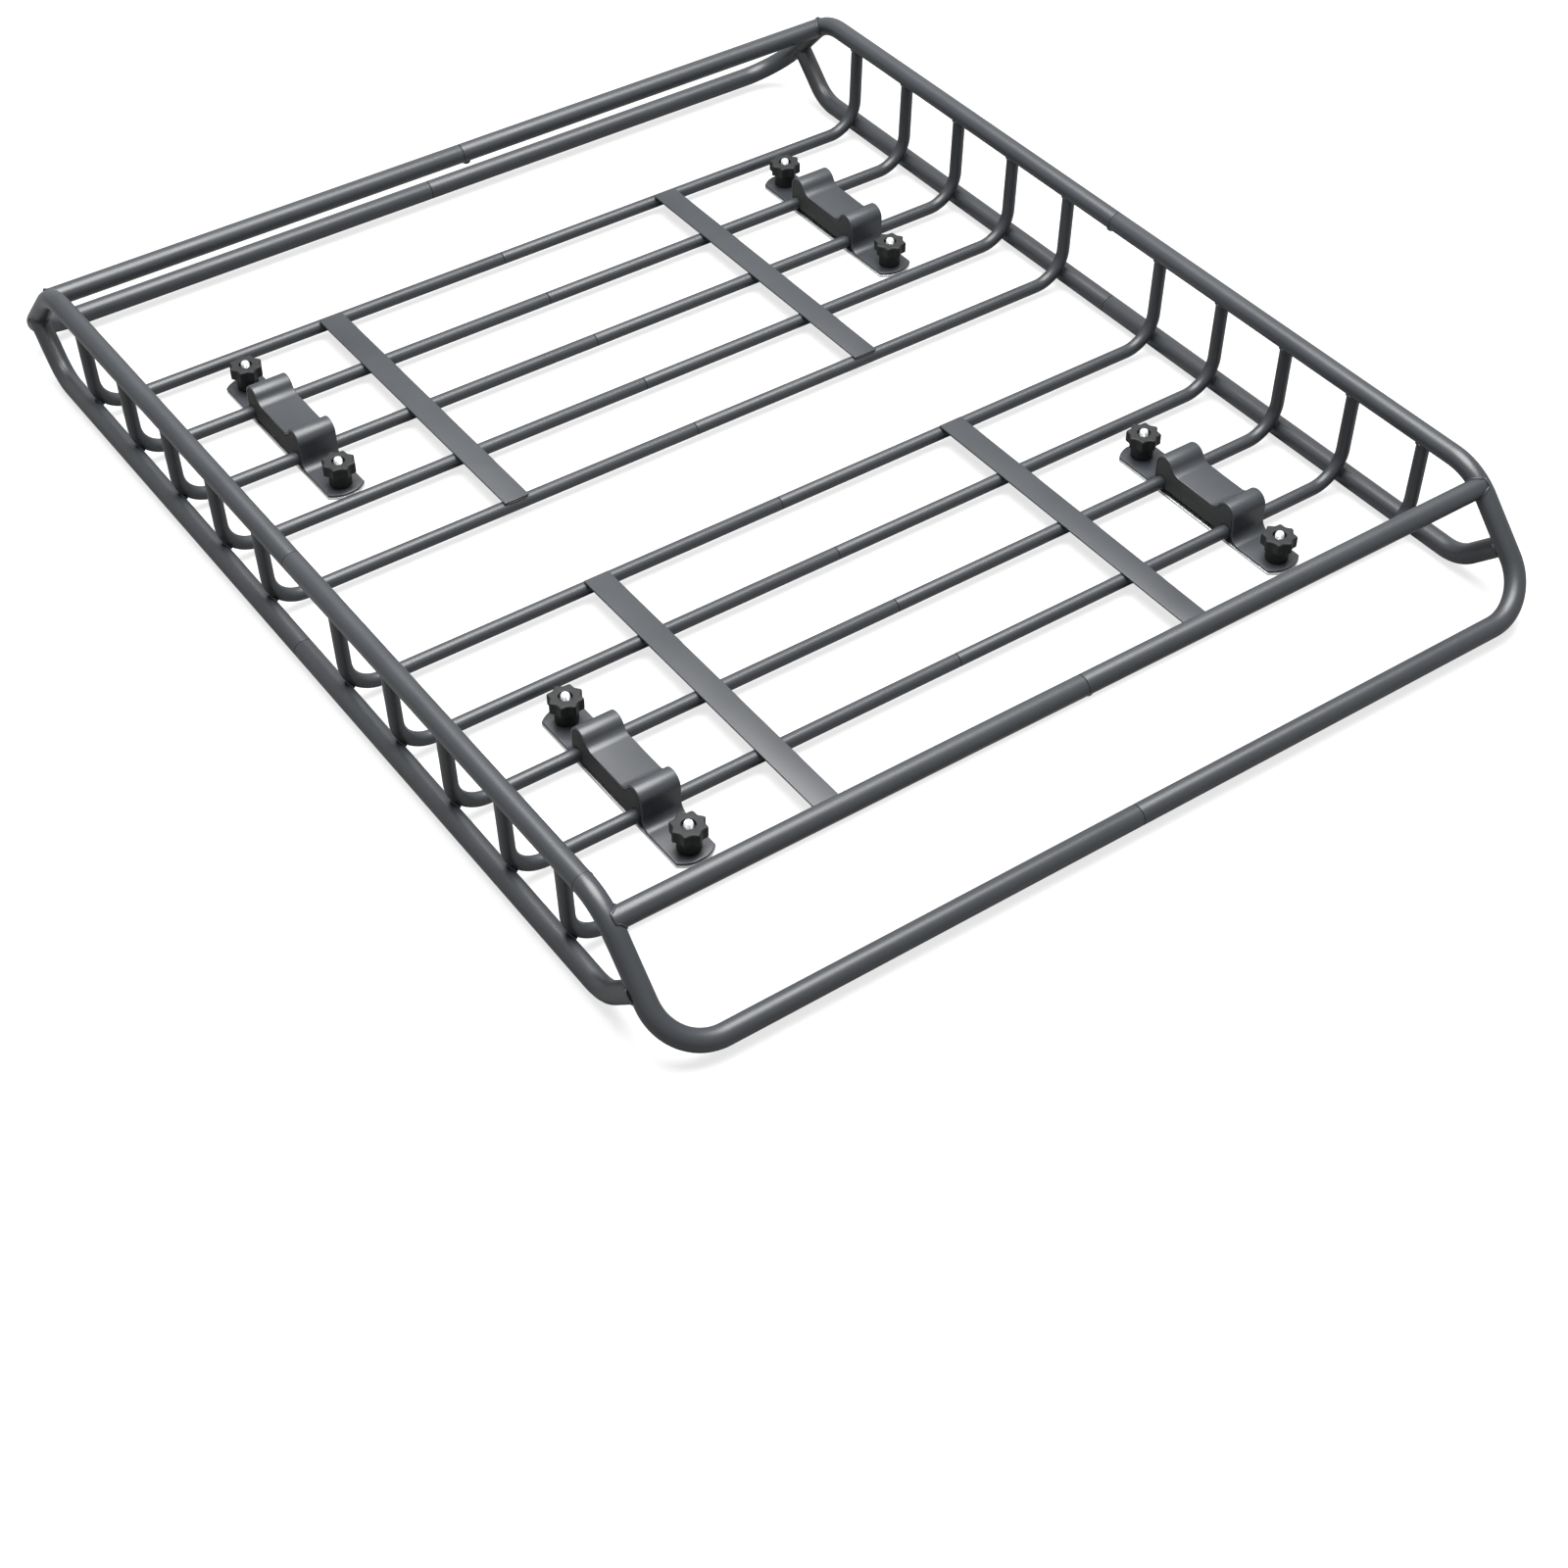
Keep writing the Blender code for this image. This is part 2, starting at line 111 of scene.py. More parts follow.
KNOB_NECK_EDGE = 0.0012
KNOB_RIM_EDGE = 0.0018
KNOB_POCKET_EDGE = 0.0006
KNOB_LOBE_BLEND = 0.0025       # from the round hub out to the full lobes
KNOB_TIP_BLUNTNESS = 0.22      # 0 would bring the lobes to sharp points
SCREW_OFFSET = 0.0060
SCREW_HEAD_R = 0.0046
SCREW_HEAD_HEIGHT = 0.0026
SCREW_SOCKET = 0.0015          # half the hexagon's width across its flats
SCREW_SOCKET_DEPTH = 0.0014
SCREW_CHAMFER = 0.0002         # where the socket meets the dome
SCREW_SEAT = 0.0004            # straight rim between the tube and the dome
SCREW_DOME = 0.95              # how far round the dome goes, in radians


def unit(vector):
    return vector / np.linalg.norm(vector)


# Finishes


def linear(code):
    """An sRGB hex colour as the linear one that shaders take."""
    value = np.array([int(code[k:k + 2], 16) for k in (1, 3, 5)]) / 255
    value = np.where(value <= 0.04045, value / 12.92, ((value + 0.055) / 1.055) ** 2.4)
    return (*value.tolist(), 1.0)


def add(material, kind, sockets=None, **settings):
    """Add a node: settings are its own, and a socket gets a value or a link."""
    node = material.node_tree.nodes.new(kind)
    for key, value in settings.items():
        setattr(node, key, value)
    for key, value in (sockets or {}).items():
        if isinstance(value, bpy.types.NodeSocket):
            material.node_tree.links.new(value, node.inputs[key])
        else:
            node.inputs[key].default_value = value
    return node


def empty_material(name):
    material = bpy.data.materials.new(name)
    material.use_nodes = True
    material.node_tree.nodes.clear()
    return material


def satin_black_powder_coat():
    """Polyester powder baked on steel: a wide soft sheen, faint orange peel, gloss that drifts."""
    coat = empty_material("satin_black_polyester_powder_coat")
    place = add(coat, "ShaderNodeTexCoord").outputs["Object"]
    # orange peel on powder is 2 to 3 mm from crest to crest
    peel = add(coat, "ShaderNodeTexNoise", {"Vector": place, "Scale": 1 / 0.0025, "Detail": 2.0})
    drift = add(coat, "ShaderNodeTexNoise", {"Vector": place, "Scale": 1 / 0.050, "Detail": 4.0})
    tone = add(coat, "ShaderNodeMix", {0: drift.outputs["Fac"], 6: linear("#202327"),
                                       7: linear("#272a2e")}, data_type="RGBA")
    gloss = add(coat, "ShaderNodeMapRange", {"Value": drift.outputs["Fac"], "From Min": 0.3,
                                             "From Max": 0.7, "To Min": 0.37, "To Max": 0.45})
    bump = add(coat, "ShaderNodeBump", {"Height": peel.outputs["Fac"], "Strength": 0.25,
                                        "Distance": 0.0001})
    shader = add(coat, "ShaderNodeBsdfPrincipled", {
        "Base Color": tone.outputs[2], "Roughness": gloss.outputs["Result"],
        "Normal": bump.outputs["Normal"], "IOR": 1.5})
    add(coat, "ShaderNodeOutputMaterial", {"Surface": shader.outputs["BSDF"]})
    return coat


def bright_zinc_plate():
    """Bright zinc plated on steel: pale mirror-like metal, dulled in soft patches by handling."""
    zinc = empty_material("bright_zinc_plated_steel")
    place = add(zinc, "ShaderNodeTexCoord").outputs["Object"]
    patch = add(zinc, "ShaderNodeTexNoise", {"Vector": place, "Scale": 1 / 0.006, "Detail": 4.0})
    tone = add(zinc, "ShaderNodeMix", {0: patch.outputs["Fac"], 6: linear("#d5d8da"),
                                       7: linear("#e8e9ea")}, data_type="RGBA")
    gloss = add(zinc, "ShaderNodeMapRange", {"Value": patch.outputs["Fac"], "From Min": 0.3,
                                             "From Max": 0.7, "To Min": 0.34, "To Max": 0.42})
    shader = add(zinc, "ShaderNodeBsdfPrincipled", {
        "Base Color": tone.outputs[2], "Roughness": gloss.outputs["Result"], "Metallic": 1.0})
    add(zinc, "ShaderNodeOutputMaterial", {"Surface": shader.outputs["BSDF"]})
    return zinc


def moulded_epdm_rubber():
    """Black EPDM pressed in a blasted mould: near black, dead matt, a fine even grain."""
    rubber = empty_material("moulded_black_epdm_rubber")
    place = add(rubber, "ShaderNodeTexCoord").outputs["Object"]
    # mould grain is about 0.3 mm; drawn at 0.8 mm so that it shows
    grain = add(rubber, "ShaderNodeTexNoise", {"Vector": place, "Scale": 1 / 0.0008,
                                               "Detail": 2.0})
    bloom = add(rubber, "ShaderNodeTexNoise", {"Vector": place, "Scale": 1 / 0.012,
                                               "Detail": 3.0})
    tone = add(rubber, "ShaderNodeMix", {0: bloom.outputs["Fac"], 6: linear("#18191a"),
                                         7: linear("#212223")}, data_type="RGBA")
    bump = add(rubber, "ShaderNodeBump", {"Height": grain.outputs["Fac"], "Strength": 0.35,
                                          "Distance": 0.0002})
    shader = add(rubber, "ShaderNodeBsdfPrincipled", {
        "Base Color": tone.outputs[2], "Roughness": 0.82, "Normal": bump.outputs["Normal"],
        "IOR": 1.52})
    add(rubber, "ShaderNodeOutputMaterial", {"Surface": shader.outputs["BSDF"]})
    return rubber


def textured_black_nylon():
    """Glass-filled nylon from a spark-eroded mould: black, low sheen, pebbled by the sparks."""
    nylon = empty_material("spark_textured_black_nylon")
    place = add(nylon, "ShaderNodeTexCoord").outputs["Object"]
    # spark pits are about 0.1 mm; drawn at 0.5 mm so that they show
    pits = add(nylon, "ShaderNodeTexVoronoi", {"Vector": place, "Scale": 1 / 0.0005})
    shade = add(nylon, "ShaderNodeTexNoise", {"Vector": place, "Scale": 1 / 0.004,
                                              "Detail": 3.0})
    tone = add(nylon, "ShaderNodeMix", {0: shade.outputs["Fac"], 6: linear("#131415"),
                                        7: linear("#1a1b1c")}, data_type="RGBA")
    bump = add(nylon, "ShaderNodeBump", {"Height": pits.outputs["Distance"], "Strength": 0.30,
                                         "Distance": 0.00012})
    shader = add(nylon, "ShaderNodeBsdfPrincipled", {
        "Base Color": tone.outputs[2], "Roughness": 0.58, "Normal": bump.outputs["Normal"],
        "IOR": 1.53, "Specular IOR Level": 0.24})
    add(nylon, "ShaderNodeOutputMaterial", {"Surface": shader.outputs["BSDF"]})
    return nylon


def pale_studio_paper():
    """Matt white background paper, lifted to white where the camera sees it."""
    paper = empty_material("matt_white_studio_paper")
    place = add(paper, "ShaderNodeTexCoord").outputs["Object"]
    fibre = add(paper, "ShaderNodeTexNoise", {"Vector": place, "Scale": 1 / 0.004})
    bump = add(paper, "ShaderNodeBump", {"Height": fibre.outputs["Fac"], "Strength": 0.05,
                                         "Distance": 0.0001})
    seen = add(paper, "ShaderNodeLightPath")
    matt = add(paper, "ShaderNodeBsdfDiffuse", {"Color": linear("#f4f4f4"),
                                                "Normal": bump.outputs["Normal"]})
    glow = add(paper, "ShaderNodeEmission", {"Color": linear("#ffffff"),
                                             "Strength": seen.outputs["Is Camera Ray"]})
    both = add(paper, "ShaderNodeMixShader", {0: 0.74, 1: matt.outputs["BSDF"],
                                              2: glow.outputs["Emission"]})
    add(paper, "ShaderNodeOutputMaterial", {"Surface": both.outputs["Shader"]})
    return paper


COAT, ZINC = satin_black_powder_coat(), bright_zinc_plate()
RUBBER, NYLON = moulded_epdm_rubber(), textured_black_nylon()


# Surfaces


def grid(rings, looped=False):
    """Closed skin over rings of points, (ring, point, 3). Each ring closes on itself; the row
    of rings either closes on itself too or ends in two flat faces. If the volume, summed
    over the faces, comes out negative, every face is turned round."""
    rows, count = rings.shape[:2]
    index = np.arange(rows * count).reshape(rows, count)
    after = np.roll(index, -1, axis=1)
    if looped:
        quads = np.stack([index, after, np.roll(after, -1, axis=0),
                          np.roll(index, -1, axis=0)], axis=-1).reshape(-1, 4)
    else:
        quads = np.stack([index[:-1], after[:-1], after[1:], index[1:]], axis=-1).reshape(-1, 4)
    points = rings.reshape(-1, 3)
    middle = points.mean(axis=0)
    a, b, c, d = (points[quads[:, k]] - middle for k in range(4))
    volume = (a * np.cross(b, c)).sum() + (a * np.cross(c, d)).sum()
    faces = quads.tolist()
    if not looped:
        for ring, sign in ((rings[0], -1), (rings[-1], 1)):
            spoke = ring - middle
            hub = spoke.mean(axis=0)
            volume += sign * (hub * np.cross(spoke, np.roll(spoke, -1, axis=0))).sum()
        faces += [index[0, ::-1].tolist(), index[-1].tolist()]
    if volume < 0:
        faces = [face[::-1] for face in faces]
    return points, faces


def together(shapes):
    """Several skins as one."""
    starts = np.cumsum([0] + [len(points) for points, _ in shapes])
    faces = [[corner + int(start) for corner in face]
             for start, (_, part) in zip(starts, shapes) for face in part]
    return np.concatenate([points for points, _ in shapes]), faces


def piece(name, shape, material, body, nodes=(), sharp=40):
    """Make a skin an object that rides on a body and stands for the nodes named."""
    points, faces = shape
    mesh = bpy.data.meshes.new(name)
    mesh.from_pydata(points.tolist(), [], faces)
    mesh.shade_smooth()
    mesh.set_sharp_from_angle(angle=np.radians(sharp))
    mesh.materials.append(material)
    made = bpy.data.objects.new(name, mesh)
    bpy.context.scene.collection.objects.link(made)
    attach(made, body)
    if nodes:
        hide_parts(*nodes)
    return made


def arc(y, z, radius, start, stop, steps):
    """Points (y, z) = centre + radius (cos t, sin t)."""
    t = np.linspace(start, stop, steps + 1)
    return np.stack([y + radius * np.cos(t), z + radius * np.sin(t)], axis=1)


def bent_line(corners, radii, up, steps=24):
    """Straight runs joined by circular bends. In a bend of angle A and radius R the point is
    centre + R (into sin t - inward cos t), heading into cos t + inward sin t, for t from 0
    to A, and the up vector turns about the bend's axis with it. Returns all three."""
    corners = np.array(corners, float)
    heading = unit(corners[1] - corners[0])
    points, ways, ups = [corners[:1]], [heading[None]], [np.array([up], float)]
    for before, corner, after, radius in zip(corners, corners[1:], corners[2:], radii):
        into, out = unit(corner - before), unit(after - corner)
        angle = np.arccos(into @ out)
        inward = unit(out - into * (into @ out))
        axis, last = np.cross(into, inward), ups[-1][-1]
        t = np.linspace(0, angle, steps + 1)[:, None]
        centre = corner - into * radius * np.tan(angle / 2) + inward * radius
        points.append(centre + radius * (into * np.sin(t) - inward * np.cos(t)))
        ways.append(into * np.cos(t) + inward * np.sin(t))
        ups.append(last * np.cos(t) + np.cross(axis, last) * np.sin(t)
                   + axis * (axis @ last) * (1 - np.cos(t)))
    points.append(corners[-1:])
    ways.append(unit(corners[-1] - corners[-2])[None])
    ups.append(ups[-1][-1:])
    return np.concatenate(points), np.concatenate(ways), np.concatenate(ups)


def seated(ring, way, line, radius):
    """Slide each point of a ring along a direction until it lies a radius from a line of
    points, by halving the stretch in which it crosses."""
    starts, spans = line[:-1], line[1:] - line[:-1]
    squares = (spans ** 2).sum(axis=1)
    near = np.full((len(ring), 1), -3 * radius)
    far = np.zeros((len(ring), 1))
    for _ in range(40):
        middle = (near + far) / 2
        spot = (ring + way * middle)[:, None, :]
        along = np.clip(((spot - starts) * spans).sum(axis=2) / squares, 0, 1)
        offset = starts + along[..., None] * spans - spot
        clear = np.sqrt((offset ** 2).sum(axis=2)).min(axis=1)[:, None] > radius
        near, far = np.where(clear, middle, near), np.where(clear, far, middle)
    return ring + way * near


def circles(points, ways, ups, radius, sides):
    """point = centre + radius (up cos a + side sin a), side being way x up."""
    a = np.arange(sides) * TAU / sides
    side = np.cross(ways, ups)
    ring = (np.cos(a)[None, :, None] * ups[:, None] + np.sin(a)[None, :, None] * side[:, None])
    return points[:, None] + np.broadcast_to(radius, len(points))[:, None, None] * ring


def rim(radius, lip, steps=5):
    """Distances in from a tube's end and its radius there: lip in from the end the radius is
    whole, and it falls by a quarter circle to radius - lip at the end itself."""
    t = np.linspace(0, np.pi / 2, steps + 1)
    return lip * (1 - np.cos(t)), radius - lip + lip * np.sin(t)


def tube(line, radius, rail=None, sides=32):
    """A circle carried along a line. A free end has a rounded rim, so that two halves meet in
    a fine groove; an end that meets a rail is hollowed to its shape."""
    points, ways, ups = line
    inset, sizes = rim(radius, TUBE_LIP)
    first = points[0] + ways[0] * inset[:, None]
    rings = [circles(first, np.tile(ways[0], (len(inset), 1)), np.tile(ups[0], (len(inset), 1)),
                     sizes, sides),
             circles(points[1:-1], ways[1:-1], ups[1:-1], radius, sides)]
    if rail is None:
        last = points[-1] - ways[-1] * inset[::-1, None]
        rings.append(circles(last, np.tile(ways[-1], (len(inset), 1)),
                             np.tile(ups[-1], (len(inset), 1)), sizes[::-1], sides))
    else:
        end = circles(points[-1:], ways[-1:], ups[-1:], radius, sides)[0]
        rings.append(seated(end, ways[-1], rail, RAIL_R)[None])
    return grid(np.concatenate(rings))


def bead(curve, radial, way):
    """Weld bead along a closed curve: a circle carried round it, whose radius swells by a
    twentieth once per ripple, its centre pulled out of the crease by a third of the radius."""
    length = np.linalg.norm(np.roll(curve, -1, axis=0) - curve, axis=1).sum()
    ripples = max(8, round(length / BEAD_RIPPLE))
    s = np.arange(len(curve)) / len(curve)
    size = BEAD_RADIUS * (1 + BEAD_SWELL * np.cos(TAU * ripples * s))[:, None, None]
    heading = np.roll(curve, -1, axis=0) - np.roll(curve, 1, axis=0)
    heading /= np.linalg.norm(heading, axis=1, keepdims=True)
    out = radial - heading * (radial * heading).sum(axis=1, keepdims=True)
    out /= np.linalg.norm(out, axis=1, keepdims=True)
    across = np.cross(heading, out)
    a = np.arange(10) * TAU / 10
    ring = np.cos(a)[None, :, None] * out[:, None] + np.sin(a)[None, :, None] * across[:, None]
    centre = curve + BEAD_RADIUS / 3 * (out - way)
    return grid(centre[:, None] + size * ring, looped=True)


def tube_ring(x, y, z):
    """Circle of small circles about a tube that runs along Y, sunk into its wall by two thirds
    of their width."""
    a, b = np.arange(96)[:, None] * TAU / 96, np.arange(10)[None] * TAU / 10
    r = RAIL_R - RING_RADIUS / 3 + RING_RADIUS * np.cos(b)
    return grid(np.stack([x + r * np.cos(a), y + RING_RADIUS * np.sin(b) + 0 * a,
                          z + r * np.sin(a)], axis=-1), looped=True)


def tube_bead(line, radius, rail, steps=112):
    """Bead round the place where a tube's last end meets a rail."""
    points, ways, ups = line
    end = circles(points[-1:], ways[-1:], ups[-1:], radius, steps)[0]
    return bead(seated(end, ways[-1], rail, RAIL_R), (end - points[-1]) / radius, ways[-1])


def flat_bar(points, normals, half_width, half_thickness, edge, steps=4):
    """A rounded rectangle carried along a line that runs in a plane across X. Its corners are
    quarter circles of the edge radius, or less where the bar narrows to nothing."""
    w = np.broadcast_to(half_width, len(points))[:, None, None]
    h = np.broadcast_to(half_thickness, len(points))[:, None, None]
    e = np.minimum(edge, np.minimum(w, h))
    turn = np.arange(4)[:, None] * np.pi / 2 + np.linspace(0, np.pi / 2, steps + 1)[None]
    right = np.array([1, -1, -1, 1])[None, :, None]
    high = np.array([1, 1, -1, -1])[None, :, None]
    u = (right * (w - e) + e * np.cos(turn)[None]).reshape(len(points), -1, 1)
    v = (high * (h - e) + e * np.sin(turn)[None]).reshape(len(points), -1, 1)
    return grid(points[:, None] + u * np.array([1.0, 0, 0]) + v * normals[:, None])


# Centre lines, from the ends of the model's tubes where its halves meet


def end_centre(node, axis):
    """Centre of the cut end of a right-hand or rear tube that faces the middle."""
    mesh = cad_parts[node].data
    co = np.empty(3 * len(mesh.vertices))
    mesh.vertices.foreach_get("co", co)
    co = co.reshape(-1, 3)
    return np.unique(co[np.abs(co[:, axis]) < 0.0005].round(6), axis=0).mean(axis=0)


def size(node):
    low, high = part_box(node)
    return np.array(high) - np.array(low)


RAIL_R = size("end_rail_rr")[1] / 2
BAR_R = size("floor_bar_r01")[1] / 2
HALF_WIDTH, _, RAIL_Z = end_centre("perimeter_tube_rr", 1)
_, END_Y, END_Z = end_centre("perimeter_tube_rr", 0)
_, TOP_END_Y, TOP_END_Z = end_centre("end_rail_rr", 0)
LOW_RAIL_X, _, LOW_RAIL_Z = end_centre("low_side_rail_rr", 1)
BAR_YS = [end_centre("floor_bar_r%02d" % n, 0)[1] for n in range(1, 2 * BARS_PER_END + 1)]
BAR_Z = end_centre("floor_bar_r01", 0)[2]

# Perimeter tubes, top end rails, floor bars and low side rails

slope = unit(np.array((END_Y - SHOULDER_Y, END_Z - RAIL_Z)))
rise = np.array((-slope[1], slope[0]))
turn_in = np.array((LOW_RAIL_TURN_Y, LOW_RAIL_Z))
meeting = turn_in + rise * (rise @ (np.array((SHOULDER_Y, RAIL_Z)) - turn_in))
beads = {}
perimeter = {}
for end, fore in ENDS.items():
    for side, across in SIDES.items():
        place = end + side
        beads[place] = []
        x, low_x = across * HALF_WIDTH, across * LOW_RAIL_X
        start_y, start_x = fore * JOINT_GAP / 2, across * JOINT_GAP / 2

        line = bent_line([(x, start_y, RAIL_Z), (x, fore * SHOULDER_Y, RAIL_Z),
                          (x, fore * END_Y, END_Z), (start_x, fore * END_Y, END_Z)],
                         [SHOULDER_RADIUS, CORNER_RADIUS], (0, 0, 1))
        perimeter[place] = line[0]
        piece("coated_perimeter_tube_" + place, tube(line, RAIL_R), COAT,
              "basket", ["perimeter_tube_" + place])

        if place == "fl":
            bend_start = SHOULDER_Y - SHOULDER_RADIUS * np.tan(np.arccos(slope[0]) / 2)
            piece("coated_tube_seam_fl", tube_ring(x, fore * bend_start, RAIL_Z), COAT,
                  "basket")

        y = fore * TOP_END_Y
        line = bent_line([(start_x, y, TOP_END_Z), (x, y, TOP_END_Z)], [], (0, 0, 1))
        piece("coated_end_rail_" + place, tube(line, RAIL_R, perimeter[place]), COAT,
              "basket", ["end_rail_" + place])
        beads[place].append(tube_bead(line, RAIL_R, perimeter[place]))

        line = bent_line([(low_x, start_y, LOW_RAIL_Z), (low_x, fore * turn_in[0], LOW_RAIL_Z),
                          (low_x, fore * meeting[0], meeting[1])], [LOW_RAIL_RADIUS], (0, 0, 1))
        piece("coated_low_side_rail_" + place, tube(line, RAIL_R, perimeter[place]), COAT,
              "basket", ["low_side_rail_" + place])
        beads[place].append(tube_bead(line, RAIL_R, perimeter[place]))

lean = unit(np.array((UPRIGHT_TOP_X - UPRIGHT_FOOT_X, RAIL_Z - BAR_Z)))
bend_x = UPRIGHT_FOOT_X - BAR_BEND_RADIUS * np.tan(np.arccos(lean[0]) / 2)
touch = unit(np.array((LOW_RAIL_X - bend_x, LOW_RAIL_Z - BAR_Z - BAR_BEND_RADIUS)))
a = np.arange(72)[:, None] * TAU / 72
for number, y in enumerate(BAR_YS, start=1):
    for side, across in SIDES.items():
        place = ("r" if y > 0 else "f") + side
        line = bent_line([(across * JOINT_GAP / 2, y, BAR_Z), (across * UPRIGHT_FOOT_X, y, BAR_Z),
                          (across * UPRIGHT_TOP_X, y, RAIL_Z)], [BAR_BEND_RADIUS], (0, 0, 1))
        name = "floor_bar_%s%02d" % (side, number)
        piece("coated_" + name, tube(line, BAR_R, perimeter[place], 28), COAT,
              "basket", [name])
        beads[place].append(tube_bead(line, BAR_R, perimeter[place]))

        # bead round the spot where the bar's bend touches the low side rail
        spot = (BAR_BEND_RADIUS + BAR_R) * touch + np.array((bend_x, BAR_Z + BAR_BEND_RADIUS))
        normal = np.array((across * touch[0], 0, touch[1]))
        along, level = np.array((-normal[2], 0, normal[0])), np.array((0.0, 1.0, 0.0))
        round_spot = level * np.cos(a) + along * np.sin(a)
        curve = np.array((across * spot[0], y, spot[1])) + RAIL_SPOT_R * round_spot
        beads[place].append(bead(curve, round_spot, np.zeros(3)))

# Straps, and the short beads under them on the bars

for end, fore in ENDS.items():
    for side in SIDES:
        place = end + side
        low, high = (np.array(corner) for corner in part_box("strap_" + place))
        centre, half = (low + high) / 2, (high - low) / 2
        inset, _ = rim(0, STRAP_EDGE)
        shrink = STRAP_EDGE - np.sqrt(np.maximum(0, STRAP_EDGE ** 2 - (STRAP_EDGE - inset) ** 2))
        y = np.concatenate([low[1] + inset, high[1] - inset[::-1]])
        drop = np.concatenate([shrink, shrink[::-1]])
        line = np.stack([np.full(len(y), centre[0]), y, np.full(len(y), centre[2])], axis=1)
        up = np.tile((0.0, 0.0, 1.0), (len(y), 1))
        piece("coated_strap_" + place,
              flat_bar(line, up, half[0] - drop, half[2] - drop, STRAP_EDGE), COAT,
              "basket", ["strap_" + place])
        for bar_y in BAR_YS:
            for shift in (-STRAP_BEAD_SHIFT, STRAP_BEAD_SHIFT):
                if low[1] < bar_y + shift < high[1]:
                    t = np.linspace(0, np.pi, 13)
                    x = centre[0] - STRAP_BEAD_HALF * np.cos(t)
                    fade = BEAD_RADIUS * np.sqrt(np.maximum(0.02, np.sin(t)))
                    z = (low[2] + BAR_Z + np.sqrt(BAR_R ** 2 - shift ** 2)) / 2
                    run = np.stack([x, np.full(13, bar_y + shift), np.full(13, z)], axis=1)
                    beads[place].append(grid(circles(run, np.tile((1.0, 0, 0), (13, 1)),
                                                     np.tile((0, 0, 1.0), (13, 1)), fade, 10)))

for place, shapes in beads.items():
    piece("weld_beads_" + place, together(shapes), COAT, "basket", sharp=180)

# Clamp plates: half the section, seen from the side, as mid-sheet points

clamp_low, clamp_high = (np.array(corner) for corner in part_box("clamp_plate_rl"))
HALF_CLAMP = (clamp_high[0] - clamp_low[0]) / 2
CLAMP_TIP = (clamp_high[1] - clamp_low[1]) / 2
SHEET = BAR_Z + FLANGE_TOP - clamp_low[2]
pitch = abs(BAR_YS[0] - BAR_YS[1])
wall_y = pitch / 2 + BAR_R + JOINT_GAP + SHEET
bump_y, bump_z = wall_y - BUMP_RADIUS, BUMP_RISE - BUMP_RADIUS
dip, run = bump_z - SADDLE_RISE, bump_y - SADDLE_HALF_LENGTH
valley = (run ** 2 + dip ** 2 - BUMP_RADIUS ** 2) / (2 * (BUMP_RADIUS + dip))
meet = np.arctan2(SADDLE_RISE + valley - bump_z, SADDLE_HALF_LENGTH - bump_y)


def clamp_top(depth, fine):
    """Saddle, sweep and bump of the clamp's upper outline, set in by a depth."""
    sweep = arc(SADDLE_HALF_LENGTH, SADDLE_RISE + valley, valley + depth, -np.pi / 2,
                meet - np.pi, fine)
    return np.concatenate([sweep, arc(bump_y, bump_z, BUMP_RADIUS - depth, meet, 0,
                                      2 * fine)[1:]])


def end_width(y):
    """Half the width of a plate whose end bulges as a circle from corner to corner."""
    radius = (HALF_CLAMP ** 2 + END_BULGE ** 2) / (2 * END_BULGE)
    out = np.clip(np.abs(y) - (CLAMP_TIP - radius), 0, radius)
    return np.minimum(HALF_CLAMP, np.sqrt(radius ** 2 - out ** 2) + 1e-5)


def end_thickness(y, half):
    """Half the thickness, falling by a quarter circle over the last edge radius."""
    left = np.clip(CLAMP_TIP - np.abs(y), 0, SHEET_EDGE)
    return half - SHEET_EDGE + np.sqrt(SHEET_EDGE ** 2 - (SHEET_EDGE - left) ** 2)


flange_y = CLAMP_TIP - END_BULGE
tip = CLAMP_TIP - END_BULGE * np.linspace(1, 0, 20) ** 2
flat = np.linspace(wall_y + FLANGE_FILLET, flange_y, 12)[1:-1]
foot = arc(wall_y + FLANGE_FILLET, FLANGE_TOP + FLANGE_FILLET, FLANGE_FILLET + SHEET / 2,
           np.pi, 1.5 * np.pi, 12)
flange = np.concatenate([flat, tip])
half_section = np.concatenate([
    clamp_top(SHEET / 2, 12), foot,
    np.stack([flange, np.full(len(flange), FLANGE_TOP - SHEET / 2)], axis=1)])
section = np.concatenate([half_section[::-1] * (-1, 1), half_section])
heading = np.gradient(section, axis=0)
heading /= np.linalg.norm(heading, axis=1, keepdims=True)
section_up = np.stack([np.zeros(len(section)), -heading[:, 1], heading[:, 0]], axis=1)


def across_x(outline, x, y):
    """Section points (y, z) as places in the basket, at one X and round one clamp middle."""
    return np.stack([np.full(len(outline), x), y + outline[:, 0], BAR_Z + outline[:, 1]], axis=1)


# Rubber pads: the space under the clamp plate, hollowed over the two bars

inset = SHEET + JOINT_GAP
groove = BAR_R + JOINT_GAP
skirt = arc(pitch / 2, 0, groove, np.pi + np.arcsin(-PAD_BOTTOM / groove),
            np.arcsin(PAD_LIP_RISE / groove), 28)
pad_half = np.concatenate([clamp_top(inset, 12), [(wall_y - inset, PAD_LIP_RISE)], skirt[::-1]])
pad_outline = np.concatenate([pad_half[::-1] * (-1, 1), pad_half])
steps_in = np.linalg.norm(np.diff(np.vstack([pad_outline, pad_outline[:1]]), axis=0), axis=1)
pad_outline = pad_outline[steps_in > 1e-6]
lengths = np.concatenate([[0], np.cumsum(steps_in[steps_in > 1e-6])])
even = np.linspace(0, lengths[-1], 220, endpoint=False)
closed = np.vstack([pad_outline, pad_outline[:1]])
pad_outline = np.stack([np.interp(even, lengths, closed[:, k]) for k in (0, 1)], axis=1)
